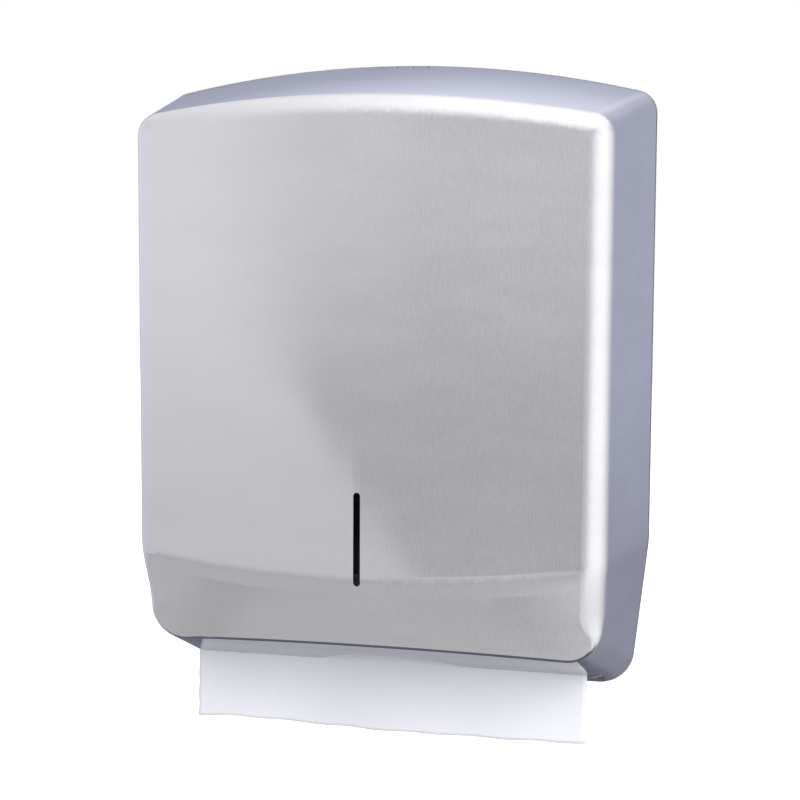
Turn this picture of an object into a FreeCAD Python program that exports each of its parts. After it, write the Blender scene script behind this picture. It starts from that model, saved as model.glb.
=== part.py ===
import FreeCAD, Part
import Sketcher
import math
import os
import re

# Folded towel dispenser for a wall: a pressed steel cover hinged at its top edge, over a back plate
# that carries two side guides, a towel tray with an open throat, and a low stack of towels.
# Millimetres. X runs to the right, Y into the wall and Z up. The origin is the middle of the four
# wall screws, on the wall face. A depth is measured from the wall face forwards, along -Y.

Vector = FreeCAD.Vector
doc = FreeCAD.newDocument("towel_dispenser")
sizes = doc.addObject("Spreadsheet::Sheet", "sizes")

# Driving dimensions
SIZES = [
    ("cover_width", 305, "rim of the cover, side to side"),
    ("cover_height", 375, "rim of the cover, lowest line to the top of its arc"),
    ("cover_depth", 115, "wall face to the crown of the front"),
    ("side_flare", 8.1, "inward lean of the side walls towards the front"),
    ("front_bow", 15, "how far the crown stands before the front's side edges"),
    ("top_slope", 11.5, "fall of the top wall towards the front"),
    ("top_arc_radius", 650, "arc of the top edge"),
    ("underside_angle", 20.5, "rise of the underside towards the front"),
    ("bend_height", 90, "side bend above the lowest line of the rim"),
    ("taper_angle", 6.3, "inward lean of the sides below the bend"),
    ("crease_height", 76, "crease of the front above the lowest line, at the middle"),
    ("lower_front_angle", 19, "backward lean of the front below the crease"),
    ("lower_bow", 18.2, "bow of the front below the crease"),
    ("top_corner_radius", 14, "upper corners of the cover"),
    ("bottom_corner_radius", 21.5, "lower corners of the cover"),
    ("bend_radius", 60, "soft bend of the sides"),
    ("crease_radius", 40, "soft crease of the front"),
    ("ridge_radius", 17, "rounded edge at the sides of the front"),
    ("brow_radius", 14, "rounded edge between front and top"),
    ("lip_radius", 3, "tighter edge between front and underside"),
    ("cover_sheet", 1.0, "sheet thickness of the cover"),
    ("plate_sheet", 1.2, "sheet thickness of the back plate, guides and brackets"),
    ("rim_gap", 1.4, "shadow gap between back plate and rim"),
    ("sight_width", 4.0, "width of the sight slot"),
    ("sight_length", 54, "length of the sight slot"),
    ("sight_height", 103, "middle of the sight slot above the lowest line"),
    ("outlet_width", 258, "cut-out of the underside, side to side"),
    ("outlet_depth", 28.5, "wall face to the front edge of the cut-out"),
    ("outlet_corner", 8, "corners of the cut-out"),
    ("grip_width", 40, "finger recess in the middle of the cut-out, at its front"),
    ("grip_depth", 60, "wall face to the front of the finger recess"),
    ("grip_slant", 28, "run of each slanted end of the recess"),
    ("grip_corner", 20, "soft corners of the recess"),
    ("hole_spacing_wide", 190, "wall screws, side to side"),
    ("hole_spacing_high", 230, "wall screws, up and down"),
    ("hole_radius", 3.2, "holes for the wall screws"),
    ("bead_width", 9, "pressed beads of the back plate"),
    ("bead_rise", 2.0, "how far the beads stand forward"),
    ("bead_length", 190, "length of each bead"),
    ("bead_spacing", 96, "beads, middle to middle"),
    ("sill_depth", 12, "folded lower edge of the back plate, out from the wall"),
    ("sill_horn_depth", 22, "wall face to the tips of the sill's two ends"),
    ("sill_horn_width", 2, "tips of the sill's ends"),
    ("sill_curve", 14, "hollow curve between sill and tips"),
    ("sill_gap", 0.4, "between the sill's ends and the cut-out"),
    ("bay_width", 252, "between the side guides"),
    ("guide_depth", 85, "wall face to the front of the side guides"),
    ("guide_lip", 13, "front lips and rear flanges of the side guides"),
    ("guide_bend", 2.4, "outer radius of the bends of the side guides"),
    ("guide_foot", 46, "lower end of the side guides above the lowest line"),
    ("guide_length", 237, "length of the side guides"),
    ("guide_window_width", 26, "windows in the side guides"),
    ("guide_window_length", 58, "length of each window"),
    ("guide_window_foot", 56, "middle of the lower window above the guide's end"),
    ("guide_window_pitch", 88, "windows, middle to middle"),
    ("guide_slant_rise", 40, "slanted front corner at the top of the guides"),
    ("guide_slant_run", 34, "slanted front corner at the top of the guides"),
    ("guide_rivet_margin", 24.5, "first and last rivet from the guide's ends"),
    ("tray_height", 47, "tray floor above the lowest line"),
    ("tray_sheet", 1.0, "sheet thickness of the tray"),
    ("tray_depth", 82.5, "wall face to the front of the tray"),
    ("tray_lip", 20, "upturned front lip of the tray"),
    ("tray_side", 16, "upturned sides of the tray"),
    ("tray_bend", 3.0, "outer radius of the bends of the tray"),
    ("tray_rear", 4.2, "wall face to the rear edge of the tray"),
    ("tray_gap", 0.1, "between the tray's sides and the guides"),
    ("tray_rivet_rear", 22, "wall face to the tray's rear rivets"),
    ("tray_rivet_front", 14, "the tray's front rivets behind its front"),
    ("tray_rivet_rise", 9, "the tray's rivets above its floor"),
    ("throat_rear", 13, "wall face to the rear lip of the throat"),
    ("throat_front", 46, "wall face to the front lip of the throat"),
    ("throat_drop", 24, "depth of the throat lips below the tray floor"),
    ("throat_bend", 0.95, "bends of the throat lips"),
    ("towel_width", 241, "folded towels, side to side"),
    ("towel_depth", 76, "folded towels, front to back"),
    ("stack_height", 13, "towels left in the dispenser"),
    ("stack_gap", 0.2, "between the stack and the tray's front bend"),
    ("stack_edge", 2, "soft upper edges of the stack"),
    ("tail_width", 243, "hanging towel, side to side"),
    ("tail_length", 79, "hanging towel, from the stack to its free edge"),
    ("tail_depth", 26, "wall face to the hanging towel"),
    ("tail_shift", -3.0, "sideways place of the hanging towel"),
    ("tail_sheet", 1.0, "thickness of the hanging towel"),
    ("pin_depth", 3.8, "wall face to the hinge pin"),
    ("pin_drop", 2.6, "hinge pin below the top of the rim"),
    ("pin_radius", 1.2, "hinge pin"),
    ("pin_clearance", 0.05, "running clearance of the hinge pin"),
    ("knuckle_radius", 2.2, "hinge knuckles"),
    ("hinge_width", 28, "hinge, side to side"),
    ("knuckle_width", 9.4, "middle knuckle of the hinge"),
    ("knuckle_gap", 0.4, "between the knuckles"),
    ("leaf_sheet", 1.0, "hinge leaves"),
    ("leaf_length", 17, "hinge leaves, from the pin"),
    ("leaf_margin", 5, "rivets of the hinge from the edges of its leaf"),
    ("leaf_near", 1.7, "cover leaf, start in front of the pin"),
    ("leaf_gap", 0.2, "between the cover and its hinge leaf"),
    ("notch_front", 1.6, "notch of the cover round the knuckles, in front"),
    ("notch_side", 0.8, "notch of the cover round the knuckles, at each side"),
    ("lock_height", 127, "lock above the lowest line of the rim"),
    ("lock_depth", 34, "wall face to the lock"),
    ("barrel_radius", 8.0, "barrel of the lock"),
    ("barrel_length", 13, "barrel of the lock, from the outer face of the cover"),
    ("barrel_gap", 0.05, "between the barrel and its hole in the cover"),
    ("thread_gap", 0.02, "between the barrel and its washer or nut"),
    ("bezel_radius", 9.8, "collar of the lock outside the cover"),
    ("bezel_height", 1.8, "how far the collar stands out"),
    ("plug_radius", 5.5, "turning plug of the lock"),
    ("plug_clearance", 0.05, "running clearance of the plug"),
    ("plug_recess", 0.3, "face of the plug inside the collar"),
    ("plug_overrun", 0.1, "how far the plug passes the barrel's end"),
    ("keyway_width", 1.6, "slot for the key, its width"),
    ("keyway_height", 6.4, "slot for the key, its height"),
    ("keyway_depth", 8, "slot for the key, its depth"),
    ("plug_square", 6.4, "square end of the plug, across its flats"),
    ("square_gap", 0.01, "between the plug's square end and the cam"),
    ("washer_sheet", 0.8, "thickness of the lock's washer"),
    ("washer_rim", 2.4, "rim of the washer outside the barrel"),
    ("nut_height", 3.0, "nut of the lock"),
    ("nut_across", 22, "nut of the lock, across its corners"),
    ("cam_length", 20, "lock cam, from the plug's axis to its tip"),
    ("cam_width", 12, "lock cam"),
    ("cam_sheet", 2.0, "lock cam"),
    ("screw_radius", 2.0, "screw of the cam"),
    ("screw_length", 6.0, "screw of the cam, below its head"),
    ("screw_head", 2.2, "height of the screw's head"),
    ("screw_slot", 0.9, "slot in the screw's head"),
    ("keeper_height", 22, "keeper, up and down"),
    ("keeper_depth", 40.5, "wall face to the front of the keeper"),
    ("keeper_reach", 8, "lip of the keeper"),
    ("keeper_drop", 25, "middle of the keeper below the lock"),
    ("keeper_gap", 1.5, "between side guide and keeper"),
    ("keeper_flange", 12, "flange of the keeper on the back plate"),
    ("keeper_rivet_pitch", 12, "rivets of the keeper"),
    ("rivet_radius", 1.6, "rivets"),
    ("rivet_gap", 0.02, "between rivet and hole"),
    ("rivet_head", 3.0, "heads of the rivets"),
    ("rivet_rise", 0.8, "height of the rivet heads"),
    ("buffer_radius", 3.4, "rubber buffers"),
    ("buffer_height", 1.1, "how far the buffers stand forward"),
    ("buffer_rise", 9, "buffers above the round of the lower corners"),
    ("buffer_margin", 0.6, "buffers inside the edge of the back plate"),
    ("loose", 0.3, "clearance between pieces that don't touch"),
]
for row, (alias, value, note) in enumerate(SIZES, 1):
    sizes.set(f"A{row}", note)
    sizes.set(f"B{row}", str(value))
    sizes.setAlias(f"B{row}", alias)
doc.recompute()
ALIASES = {alias for alias, value, note in SIZES}


def formula(words):
    """Writes each size's name as a cell of the sheet."""
    return re.sub(r"[a-z_]+", lambda word: "sizes." + word[0] if word[0] in ALIASES else word[0], words)


def number(words):
    return float(sizes.evalExpression(formula(words)))


def bind(item, path, words):
    item.setExpression(path, formula(words))


# Heights and widths of the outline at any depth from the wall
LOWEST = "(-cover_height / 2)"


def half_width(depth):
    return f"(cover_width / 2 - tan(side_flare) * ({depth}))"


def apex(depth):
    return f"(cover_height / 2 - tan(top_slope) * ({depth}))"


def underside(depth):
    return f"({LOWEST} + tan(underside_angle) * ({depth}))"


def arc_height(top, radius, across):
    """Height of an arc with its middle at top, at a distance across from the middle."""
    return f"({top} - {radius} + sqrt(({radius}) ^ 2 - ({across}) ^ 2))"


BEND = f"({LOWEST} + bend_height)"
TRAY_FLOOR = f"({LOWEST} + tray_height)"
LOCK_PLACE = f"({LOWEST} + lock_height)"


# Sketches and features
def new_body(label):
    body = doc.addObject("PartDesign::Body", label)
    body.Label = label
    return body


def sketch_on(body, role, offset="0"):
    """A sketch on one of the body's own origin planes, moved along its normal."""
    sketch = body.newObject("Sketcher::SketchObject", body.Label + "_sketch")
    plane = next(item for item in body.Origin.OriginFeatures if item.Role == role)
    sketch.AttachmentSupport = [(plane, "")]
    sketch.MapMode = "FlatFace"
    bind(sketch, "AttachmentOffset.Base.z", offset)
    return sketch


def dimension(sketch, kind, words, *place):
    index = sketch.addConstraint(Sketcher.Constraint(kind, *place, number(words)))
    bind(sketch, f"Constraints[{index}]", words)


def place_point(sketch, edge, end, across, up):
    dimension(sketch, "DistanceX", across, -1, 1, edge, end)
    dimension(sketch, "DistanceY", up, -1, 1, edge, end)


def outline(sketch, corners, arcs=None):
    """A closed outline through corners, anticlockwise. arcs gives an edge's radius and its bulge."""
    arcs = arcs or {}
    points = [Vector(number(across), number(up), 0) for across, up in corners]
    starts = []
    for index, (across, up) in enumerate(corners):
        near, far = points[index], points[(index + 1) % len(points)]
        if index in arcs:
            radius, bulge = arcs[index]
            chord = far - near
            left = Vector(-chord.y, chord.x, 0).normalize()
            inward = left if bulge == "out" else -left
            offset = math.sqrt(number(radius) ** 2 - (chord.Length / 2) ** 2)
            centre = (near + far) * 0.5 + inward * offset
            first, last = (near, far) if bulge == "out" else (far, near)
            circle = Part.Circle(centre, Vector(0, 0, 1), number(radius))
            edge = sketch.addGeometry(
                Part.ArcOfCircle(circle, circle.parameter(first), circle.parameter(last))
            )
            dimension(sketch, "Radius", radius, edge)
            starts.append((edge, 1, 2) if bulge == "out" else (edge, 2, 1))
        else:
            edge = sketch.addGeometry(Part.LineSegment(near, far))
            starts.append((edge, 1, 2))
    for index, (across, up) in enumerate(corners):
        edge, start, end = starts[index]
        before, before_start, before_end = starts[index - 1]
        sketch.addConstraint(Sketcher.Constraint("Coincident", before, before_end, edge, start))
        place_point(sketch, edge, start, across, up)
    return sketch


def circle_at(sketch, across, up, radius):
    circle = Part.Circle(Vector(number(across), number(up), 0), Vector(0, 0, 1), number(radius))
    edge = sketch.addGeometry(circle)
    dimension(sketch, "Radius", radius, edge)
    place_point(sketch, edge, 3, across, up)
    return sketch


def slot_at(sketch, across, up, width, length):
    """An upright slot with round ends, its middle at (across, up)."""
    radius = f"({width}) / 2"
    reach = f"(({length}) - ({width})) / 2"
    middle = Vector(number(across), number(up), 0)
    side, rise = number(radius), number(reach)
    axis = Vector(0, 0, 1)
    top_arc = sketch.addGeometry(
        Part.ArcOfCircle(Part.Circle(middle + Vector(0, rise, 0), axis, side), 0, math.pi)
    )
    left_line = sketch.addGeometry(
        Part.LineSegment(middle + Vector(-side, rise, 0), middle + Vector(-side, -rise, 0))
    )
    bottom_arc = sketch.addGeometry(
        Part.ArcOfCircle(Part.Circle(middle - Vector(0, rise, 0), axis, side), math.pi, 2 * math.pi)
    )
    right_line = sketch.addGeometry(
        Part.LineSegment(middle + Vector(side, -rise, 0), middle + Vector(side, rise, 0))
    )
    for one, two in (
        (top_arc, left_line), (left_line, bottom_arc), (bottom_arc, right_line), (right_line, top_arc)
    ):
        sketch.addConstraint(Sketcher.Constraint("Tangent", one, 2, two, 1))
    dimension(sketch, "Radius", radius, top_arc)
    place_point(sketch, top_arc, 3, across, f"({up}) + {reach}")
    place_point(sketch, bottom_arc, 3, across, f"({up}) - {reach}")
    return sketch


def pad(body, sketch, length, both_ways=False, backwards=False):
    feature = body.newObject("PartDesign::Pad", body.Label + "_pad")
    feature.Profile = sketch
    bind(feature, "Length", length)
    feature.Midplane = both_ways
    feature.Reversed = backwards
    doc.recompute()
    return feature


def pocket(body, sketch, length, both_ways=False, backwards=False):
    """Cuts the sketch into the body, and makes sure that it took material away."""
    volume = body.Shape.Volume
    feature = body.newObject("PartDesign::Pocket", body.Label + "_pocket")
    feature.Profile = sketch
    bind(feature, "Length", length)
    feature.Midplane = both_ways
    feature.Reversed = backwards
    doc.recompute()
    if body.Shape.Volume > volume - 1e-6:
        raise RuntimeError(feature.Label + " cut nothing")
    return feature


def fillet(body, radius, points):
    """Rounds the body's edges that pass nearest to the points."""
    base = body.Tip
    edges = [f"Edge{index}" for index in nearest_edges(body.Shape, points)]
    feature = body.newObject("PartDesign::Fillet", body.Label + "_fillet")
    feature.Base = (base, edges)
    bind(feature, "Radius", radius)
    body.Tip = feature
    doc.recompute()
    return feature


def nearest_edges(shape, points):
    """Numbers of the edges that pass nearest to the points, each given as three formulas."""
    found = []
    for point in points:
        vertex = Part.Vertex(*(number(words) for words in point))
        distances = [edge.distToShape(vertex)[0] for edge in shape.Edges]
        found.append(distances.index(min(distances)) + 1)
    return sorted(set(found))


def cut(label, base, *tools):
    result = base
    for tool in tools:
        step = doc.addObject("Part::Cut", label + "_step")
        step.Base = result
        step.Tool = tool
        result = step
    result.Label = label
    doc.recompute()
    return result


def fuse(label, *pieces):
    result = doc.addObject("Part::MultiFuse", label + "_fused")
    result.Shapes = list(pieces)
    result.Label = label
    doc.recompute()
    return result


def common(label, base, tool):
    result = doc.addObject("Part::Common", label)
    result.Base = base
    result.Tool = tool
    doc.recompute()
    return result


def cylinder(radius, height, across="0", depth="0", up="0", direction=Vector(0, 0, 1)):
    """A cylinder that starts at a point and runs along a direction."""
    item = doc.addObject("Part::Cylinder", "cylinder")
    bind(item, "Radius", radius)
    bind(item, "Height", height)
    item.Placement.Rotation = FreeCAD.Rotation(Vector(0, 0, 1), direction)
    bind(item, "Placement.Base.x", across)
    bind(item, "Placement.Base.y", f"-({depth})")
    bind(item, "Placement.Base.z", up)
    return item


def box(left, depth, low, width, thick, height):
    """A box from its left, front and lower faces, the front face given as a depth from the wall."""
    item = doc.addObject("Part::Box", "box")
    bind(item, "Length", width)
    bind(item, "Width", thick)
    bind(item, "Height", height)
    bind(item, "Placement.Base.x", left)
    bind(item, "Placement.Base.y", f"-({depth})")
    bind(item, "Placement.Base.z", low)
    return item


def on_both_sides(*places):
    """Each place, given by two formulas, and its mirror image, the left one first."""
    return [(sign + f"({across})", second) for across, second in places for sign in ("-", "")]


# Cover
# A block with flared sides is cut by the top, underside and tapers, each a profile run forwards along
# its own slope. The front is bowed in plan, and leans back below a crease that dips in the middle,
# because the lower surface is bowed more than the upper one.
def run_cut(body, role, offset, corners, arcs, direction):
    """Cuts a profile through the whole body along a direction that leans from the sketch's normal."""
    sketch = outline(sketch_on(body, role, offset), corners, arcs)
    volume = body.Shape.Volume
    feature = body.newObject("PartDesign::Pocket", body.Label + "_run")
    feature.Profile = sketch
    feature.Midplane = True
    bind(feature, "Length", "cover_height * 2")
    feature.UseCustomVector = True
    for axis, words in zip("xyz", direction):
        bind(feature, f"Direction.{axis}", words)
    doc.recompute()
    if body.Shape.Volume > volume - 1e-6:
        raise RuntimeError(feature.Label + " cut nothing")


def bow_radius(rise):
    edge = half_width("cover_depth - front_bow")
    return f"(({edge} ^ 2 + ({rise}) ^ 2) / (2 * ({rise})))"


def front_cut(body, height, rise, inset, lean):
    """Cuts away what lies before a bowed front that leans back by an angle below the given height."""
    radius = f"({bow_radius(rise)} - {inset})"
    reach = "(cover_width * 0.6)"
    crown = f"(cover_depth - {inset} / cos({lean}))"
    edge = f"-{arc_height(crown, radius, reach)}"
    ahead = "-(cover_depth * 1.6)"
    corners = [(f"-{reach}", ahead), (reach, ahead), (reach, edge), (f"-{reach}", edge)]
    run_cut(body, "XY_Plane", height, corners, {2: (radius, "in")}, ("0", f"sin({lean})", f"-cos({lean})"))


def cover_walls(body, near_depth, inset):
    """The flared block between rim and front, with its top, underside and tapers cut."""
    far_depth = "(cover_depth * 1.15)"
    corners = []
    for sign, depth in (("-", far_depth), ("", far_depth), ("", near_depth), ("-", near_depth)):
        corners.append((f"{sign}({half_width(depth)} - {inset} / cos(side_flare))", f"-({depth})"))
    outline(sketch_on(body, "XY_Plane"), corners)
    pad(body, body.Group[-1], "cover_height * 1.2", both_ways=True)
    reach = "(cover_width * 0.6)"
    above = "cover_height"
    crown = f"({apex('0')} - {inset} / cos(top_slope))"
    radius = f"(top_arc_radius - {inset} / cos(top_slope))"
    edge = arc_height(crown, radius, reach)
    run_cut(body, "XZ_Plane", "0", [
        (f"-{reach}", edge), (reach, edge), (reach, above), (f"-{reach}", above),
    ], {0: (radius, "in")}, ("0", "-1", "-tan(top_slope)"))
    foot = f"({LOWEST} + {inset} / cos(underside_angle))"
    run_cut(body, "XZ_Plane", "0", [
        (f"-{reach}", f"-{above}"), (reach, f"-{above}"), (reach, foot), (f"-{reach}", foot),
    ], None, ("0", "-1", "tan(underside_angle)"))
    wall = f"({inset} * sqrt(1 + tan(taper_angle) ^ 2 + tan(side_flare) ^ 2))"
    bend_side = f"({half_width('0')} - {wall})"
    spread = "(bend_height * 1.5)"
    low, high = f"({BEND} - {spread})", f"({BEND} + {spread})"
    low_side = f"({bend_side} - tan(taper_angle) * {spread})"
    high_side = f"({bend_side} + tan(taper_angle) * {spread})"
    for sign in ("-", ""):
        corners = [
            (sign + low_side, low), (sign + reach, low), (sign + reach, high), (sign + high_side, high),
        ]
        if sign:
            corners.reverse()
        inward = "" if sign else "-"
        run_cut(body, "XZ_Plane", "0", corners, None, (f"{inward}tan(side_flare)", "-1", "0"))


def rounded(base, label, edges):
    """Rounds numbered edges of base, each with a start and an end radius."""
    item = doc.addObject("Part::Fillet", label)
    item.Base = base
    item.Edges = edges
    doc.recompute()
    return item


def faces_beside(shape, edge):
    return shape.ancestorsOfType(edge, Part.Face)


def face_normal(face):
    low_u, high_u, low_v, high_v = face.ParameterRange
    return face.normalAt((low_u + high_u) / 2, (low_v + high_v) / 2)


def round_front(base, label, inset):
    """Rounds the loop of edges round the front: wide at the sides, less at the top, tight at the lip."""
    shape = base.Shape
    ridge, brow, lip = (number(f"{name}_radius - {inset}") for name in ("ridge", "brow", "lip"))
    faces_front = -0.8
    faces_along = 0.9
    loop = []
    fixed = []
    for index, edge in enumerate(shape.Edges, 1):
        normals = [face_normal(face) for face in faces_beside(shape, edge)]
        in_front = [normal.y < faces_front for normal in normals]
        if any(in_front) and not all(in_front):
            loop.append((index, edge))
            for radius, up in ((brow, 1), (lip, -1)):
                if any(normal.z * up > faces_along for normal in normals):
                    fixed += [(vertex.Point, radius) for vertex in edge.Vertexes]

    def radius_at(point):
        return next((radius for end, radius in fixed if end.distanceToPoint(point) < 1e-3), ridge)

    edges = []
    for index, edge in loop:
        radii = [radius_at(vertex.Point) for vertex in (edge.Vertexes[0], edge.Vertexes[-1])]
        if edge.Orientation != "Forward":
            radii.reverse()
        edges.append((index, *radii))
    return rounded(base, label, edges)


def corner_points(inset):
    """Points on the edges that are rounded: top corners, side bends and bottom corners."""
    mid_depth = "(cover_depth / 2)"
    side = f"({half_width(mid_depth)} - {inset})"
    foot = f"({underside(mid_depth)} + {inset})"
    foot_side = f"({side} - tan(taper_angle) * ({BEND} - {foot}))"
    shoulder = f"({arc_height(apex(mid_depth), 'top_arc_radius', side)} - {inset})"
    return [
        [(sign + across, f"-{mid_depth}", up) for sign in ("-", "")]
        for across, up in ((side, shoulder), (side, BEND), (foot_side, foot))
    ]


def cover_form(label, inset, near_depth):
    """The cover as a solid, its walls moved inwards by inset."""
    body = new_body(label)
    cover_walls(body, near_depth, inset)
    crease = f"({LOWEST} + crease_height)"
    front_cut(body, "0", "front_bow", inset, "0")
    front_cut(body, crease, "lower_bow", inset, "lower_front_angle")
    top_corners, bends, bottom_corners = corner_points(inset)
    steps = [
        ("crease_radius", [("0", f"-(cover_depth - {inset})", crease)]),
        ("top_corner_radius", top_corners),
        ("bend_radius", bends),
        ("bottom_corner_radius", bottom_corners),
    ]
    for radius, points in steps:
        fillet(body, f"{radius} - {inset}", points)
    return round_front(body, label + "_rounded", inset)


cover_blank = cover_form("cover_blank", "0", "plate_sheet + rim_gap")
cover_core = cover_form("cover_core", "cover_sheet", "plate_sheet + rim_gap - 1")

sight_tool = new_body("sight_tool")
slot_at(sketch_on(sight_tool, "XZ_Plane", "cover_depth - front_bow"), "0", f"{LOWEST} + sight_height",
        "sight_width", "sight_length")
pad(sight_tool, sight_tool.Group[-1], "front_bow * 2")

outlet_tool = new_body("outlet_tool")
outlet_side = "(outlet_width / 2)"
grip_side = "(grip_width / 2)"
outlet_ends = on_both_sides((outlet_side, "-outlet_depth"))
grip_corners = on_both_sides((f"{grip_side} + grip_slant", "-outlet_depth"), (grip_side, "-grip_depth"))
outline(sketch_on(outlet_tool, "XY_Plane", f"{LOWEST} - bottom_corner_radius"), [
    outlet_ends[0], grip_corners[0], grip_corners[2], grip_corners[3], grip_corners[1], outlet_ends[1],
    (outlet_side, "outlet_corner"), (f"-{outlet_side}", "outlet_corner"),
])
pad(outlet_tool, outlet_tool.Group[-1], "tan(underside_angle) * grip_depth + 2 * bottom_corner_radius")
for corner, places in (("outlet_corner", outlet_ends), ("grip_corner", grip_corners)):
    fillet(outlet_tool, corner, [(across, along, LOWEST) for across, along in places])

notch_half = "(hinge_width / 2 + notch_side)"
notch_depth = "(pin_depth + knuckle_radius + notch_front)"
notch_tool = box(f"-{notch_half}", notch_depth, "cover_height / 2 - leaf_length",
                 f"2 * {notch_half}", notch_depth, "2 * leaf_length")

# The lock stands square to the left wall
flare = math.radians(number("side_flare"))
outwards = Vector(-math.cos(flare), -math.sin(flare), 0)
inwards = -outwards
upwards = Vector(0, 0, 1)
lock_centre = Vector(
    -number(half_width("lock_depth")), -number("lock_depth"), number(LOCK_PLACE)
)
lock_turn = FreeCAD.Rotation(upwards.cross(inwards), upwards, inwards, "ZXY")


def on_lock(item):
    """Moves a piece drawn on the lock's own axis to its place in the left wall."""
    item.Placement = FreeCAD.Placement(lock_centre, lock_turn)
    return item


def lock_disc(radius, height, start="0"):
    item = doc.addObject("Part::Cylinder", "disc")
    bind(item, "Radius", radius)
    bind(item, "Height", height)
    bind(item, "Placement.Base.z", start)
    return item


lock_hole = on_lock(doc.addObject("Part::Compound", "lock_hole"))
lock_hole.Links = [lock_disc("barrel_radius + barrel_gap", "2 * barrel_length", "-barrel_length")]
doc.recompute()
cover_shell = cut("cover_shell", cover_blank, cover_core, sight_tool, outlet_tool, notch_tool, lock_hole)

# Back plate
# Flat sheet with the outline of the rim, two pressed beads, and a folded sill. The sill carries the
# cover's own skin on behind the towels, so that the cover can swing off them to the front.
plate = new_body("plate")
plate_edge = "-plate_sheet / 2"
rim_side = "(cover_width / 2)"
rim_foot_side = f"({rim_side} - tan(taper_angle) * bend_height)"
rim_shoulder = arc_height(apex("0"), "top_arc_radius", rim_side)
outline(sketch_on(plate, "XZ_Plane"), [
    (f"-{rim_foot_side}", LOWEST), (rim_foot_side, LOWEST), (rim_side, BEND),
    (rim_side, rim_shoulder), (f"-{rim_side}", rim_shoulder), (f"-{rim_side}", BEND),
], {3: ("top_arc_radius", "out")})
pad(plate, plate.Group[-1], "plate_sheet")
for radius, across, up in (
    ("top_corner_radius", rim_side, rim_shoulder),
    ("bend_radius", rim_side, BEND),
    ("bottom_corner_radius", rim_foot_side, LOWEST),
):
    fillet(plate, radius, [(sign + across, plate_edge, up) for sign in ("-", "")])

bead_sketch = sketch_on(plate, "XY_Plane", "0")
for sign in ("-", ""):
    middle = f"({sign}bead_spacing / 2)"
    outline(bead_sketch, [
        (f"{middle} - bead_width / 2", "-plate_sheet"),
        (f"{middle} - bead_width / 4", "-(plate_sheet + bead_rise)"),
        (f"{middle} + bead_width / 4", "-(plate_sheet + bead_rise)"),
        (f"{middle} + bead_width / 2", "-plate_sheet"),
    ])
pad(plate, bead_sketch, "bead_length", both_ways=True)
groove_sketch = sketch_on(plate, "XY_Plane", "0")
for sign in ("-", ""):
    middle = f"({sign}bead_spacing / 2)"
    outline(groove_sketch, [
        (f"{middle} - bead_width / 4", "-bead_rise"),
        (f"{middle} + bead_width / 4", "-bead_rise"),
        (f"{middle} + bead_width / 2 - plate_sheet", "0"),
        (f"{middle} - bead_width / 2 + plate_sheet", "0"),
    ])
pocket(plate, groove_sketch, "bead_length - 2 * plate_sheet", both_ways=True)

hole_sketch = sketch_on(plate, "XZ_Plane", "0")
for across, up in on_both_sides(
    ("hole_spacing_wide / 2", "hole_spacing_high / 2"), ("hole_spacing_wide / 2", "-hole_spacing_high / 2")
):
    circle_at(hole_sketch, across, up, "hole_radius")

# Rivets: where each kind goes, so that plate, flange and rivet share one place
guide_mid = "(bay_width / 2 + plate_sheet - guide_lip / 2)"
guide_low = f"({LOWEST} + guide_foot)"
guide_rivet_places = on_both_sides(
    (guide_mid, f"{guide_low} + guide_rivet_margin"), (guide_mid, f"{guide_low} + guide_length / 2"),
    (guide_mid, f"{guide_low} + guide_length - guide_rivet_margin"),
)
keeper_side = "(bay_width / 2 + plate_sheet + keeper_gap)"
keeper_mid = f"({LOCK_PLACE} - keeper_drop)"
keeper_rivet_across = f"-({keeper_side} + plate_sheet + keeper_flange / 2)"
keeper_rivet_places = [
    (keeper_rivet_across, f"{keeper_mid} {way} keeper_rivet_pitch / 2") for way in ("-", "+")
]
hinge_rivet_up = "(cover_height / 2 - pin_drop - leaf_length + leaf_margin)"
hinge_rivet_places = on_both_sides(("hinge_width / 2 - leaf_margin", hinge_rivet_up))
tray_rivet_depths = ("tray_rivet_rear", "(tray_depth - tray_rivet_front)")
tray_rivet_up = f"({TRAY_FLOOR} + tray_rivet_rise)"
for across, up in guide_rivet_places + keeper_rivet_places + hinge_rivet_places:
    circle_at(hole_sketch, across, up, "rivet_radius")
pocket(plate, hole_sketch, "plate_sheet * 2", backwards=True)


def sill_walls(label, near_depth, inset):
    """The cover's walls and lower corners, carried back to a depth near the wall."""
    body = new_body(label)
    cover_walls(body, near_depth, inset)
    fillet(body, f"bottom_corner_radius - {inset}", corner_points(inset)[2])
    return body


sill_skin = cut("sill_skin", sill_walls("sill_outside", "plate_sheet", "0"),
                sill_walls("sill_inside", "0", "plate_sheet"))
sill_tool = new_body("sill_tool")
sill_side = "(outlet_width / 2 - sill_gap)"
horn_side = f"({sill_side} - sill_horn_width)"
sill_shoulder = f"({horn_side} - (sill_horn_depth - sill_depth))"
outline(sketch_on(sill_tool, "XY_Plane", f"{LOWEST} - bottom_corner_radius"), [
    (f"-{sill_side}", "-sill_horn_depth"), (f"-{horn_side}", "-sill_horn_depth"),
    (f"-{sill_shoulder}", "-sill_depth"), (sill_shoulder, "-sill_depth"),
    (horn_side, "-sill_horn_depth"), (sill_side, "-sill_horn_depth"),
    (sill_side, "0"), (f"-{sill_side}", "0"),
], {1: ("sill_curve", "in"), 3: ("sill_curve", "in")})
pad(sill_tool, sill_tool.Group[-1], "tan(underside_angle) * sill_horn_depth + 2 * bottom_corner_radius")
back_plate = fuse("back_plate", plate, common("sill", sill_skin, sill_tool))


def rivets(label, places, grip):
    """Rivets through the back plate: a shank from the wall face and a low round head."""
    pieces = []
    for across, up in places:
        pieces.append(cylinder("rivet_radius - rivet_gap", grip, across, "0", up, Vector(0, -1, 0)))
        pieces.append(cylinder("rivet_head", "rivet_rise", across, grip, up, Vector(0, -1, 0)))
    return fuse(label, *pieces)


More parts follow.
